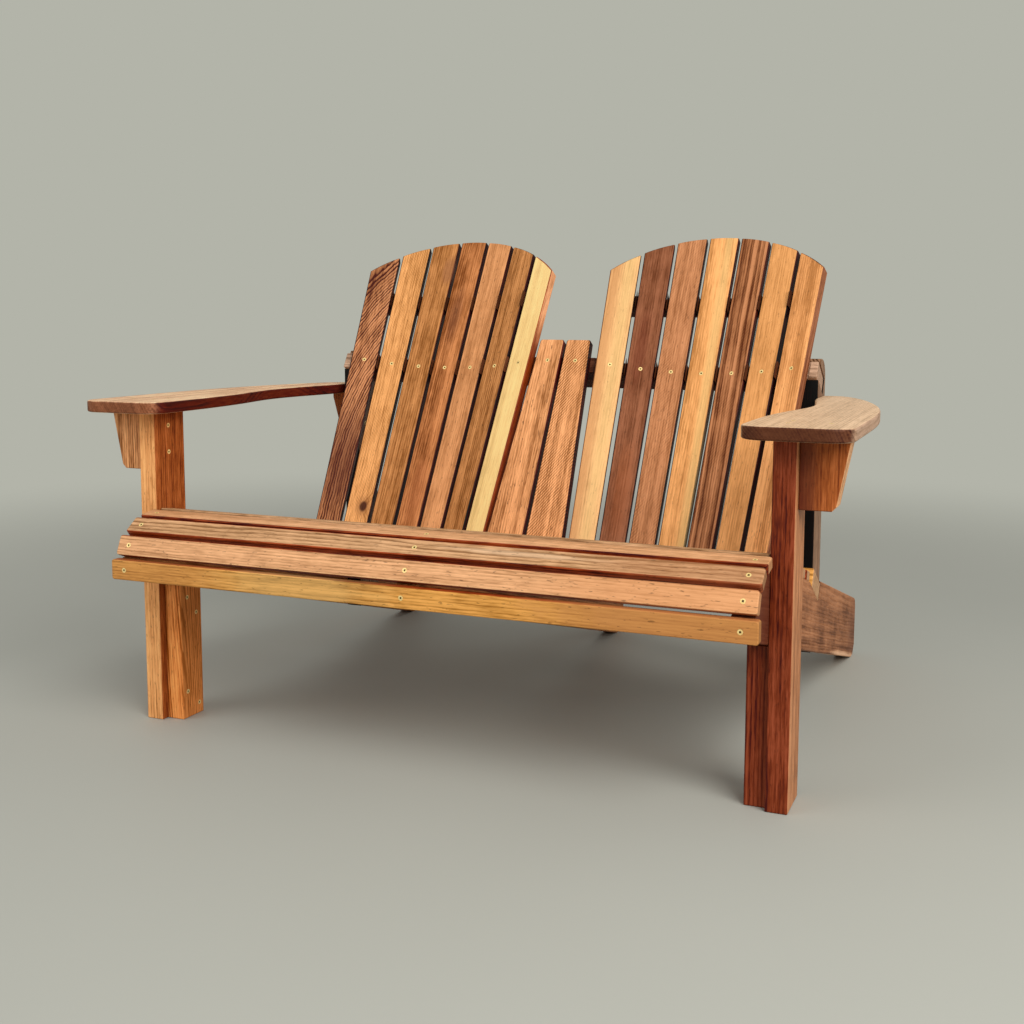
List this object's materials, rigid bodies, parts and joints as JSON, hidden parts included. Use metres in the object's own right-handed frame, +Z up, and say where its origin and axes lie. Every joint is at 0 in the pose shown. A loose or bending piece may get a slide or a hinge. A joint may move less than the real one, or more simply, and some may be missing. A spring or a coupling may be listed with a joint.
{
  "type": "adirondack loveseat",
  "caption": "Wooden adirondack loveseat with paired scooped fan backs, a waterfall slatted seat on sloping stringers, and broad level arms on brackets.",
  "frame": {"origin": "on the floor, under the middle of the bounding box", "axes": "+Z up, +X to the right across the width as seen from the front, +Y from the front edge of the seat to the rear feet"},
  "size_m": [1.468, 1.1646, 0.9793],
  "materials": {
    "brown_wood": "satin oiled softwood, dark brown heartwood",
    "golden_wood": "satin oiled softwood, golden orange",
    "tan_wood": "satin oiled softwood, light tan",
    "red_wood": "satin oiled softwood, red brown heartwood",
    "pale_wood": "satin oiled softwood, pale sapwood",
    "grey_wood": "weathered grey brown softwood",
    "brass": "dull yellow brass"
  },
  "bodies": {
    "root": {"arm_screws": "brass", "bracket_screws": "brass", "centre_stringer": "grey_wood", "frame_screws": "brass", "left_arm": "tan_wood", "left_back_slat_1": "brown_wood", "left_back_slat_2": "golden_wood", "left_back_slat_3": "tan_wood", "left_back_slat_4": "red_wood", "left_back_slat_5": "tan_wood", "left_back_slat_6": "brown_wood", "left_back_slat_7": "pale_wood", "left_centre_slat": "tan_wood", "left_front_bracket": "brown_wood", "left_front_post": "tan_wood", "left_leg_block": "red_wood", "left_rear_bracket": "red_wood", "left_rear_post": "grey_wood", "left_stringer": "grey_wood", "left_upper_rail": "grey_wood", "leg_screws": "brass", "lower_rail": "tan_wood", "lower_rail_screws": "brass", "middle_rail": "grey_wood", "middle_rail_screws": "brass", "right_arm": "tan_wood", "right_back_slat_1": "pale_wood", "right_back_slat_2": "brown_wood", "right_back_slat_3": "red_wood", "right_back_slat_4": "golden_wood", "right_back_slat_5": "brown_wood", "right_back_slat_6": "golden_wood", "right_back_slat_7": "golden_wood", "right_centre_slat": "golden_wood", "right_front_bracket": "red_wood", "right_front_post": "red_wood", "right_leg_block": "red_wood", "right_rear_bracket": "red_wood", "right_rear_post": "grey_wood", "right_stringer": "grey_wood", "right_upper_rail": "grey_wood", "seat_screws": "brass", "seat_slat_01": "golden_wood", "seat_slat_02": "tan_wood", "seat_slat_03": "brown_wood", "seat_slat_04": "tan_wood", "seat_slat_05": "tan_wood", "seat_slat_06": "tan_wood", "seat_slat_07": "tan_wood", "seat_slat_08": "tan_wood", "seat_slat_09": "tan_wood", "seat_slat_10": "tan_wood", "seat_slat_11": "tan_wood", "seat_slat_12": "tan_wood", "upper_rail_screws": "brass"}
  },
  "joints": []
}
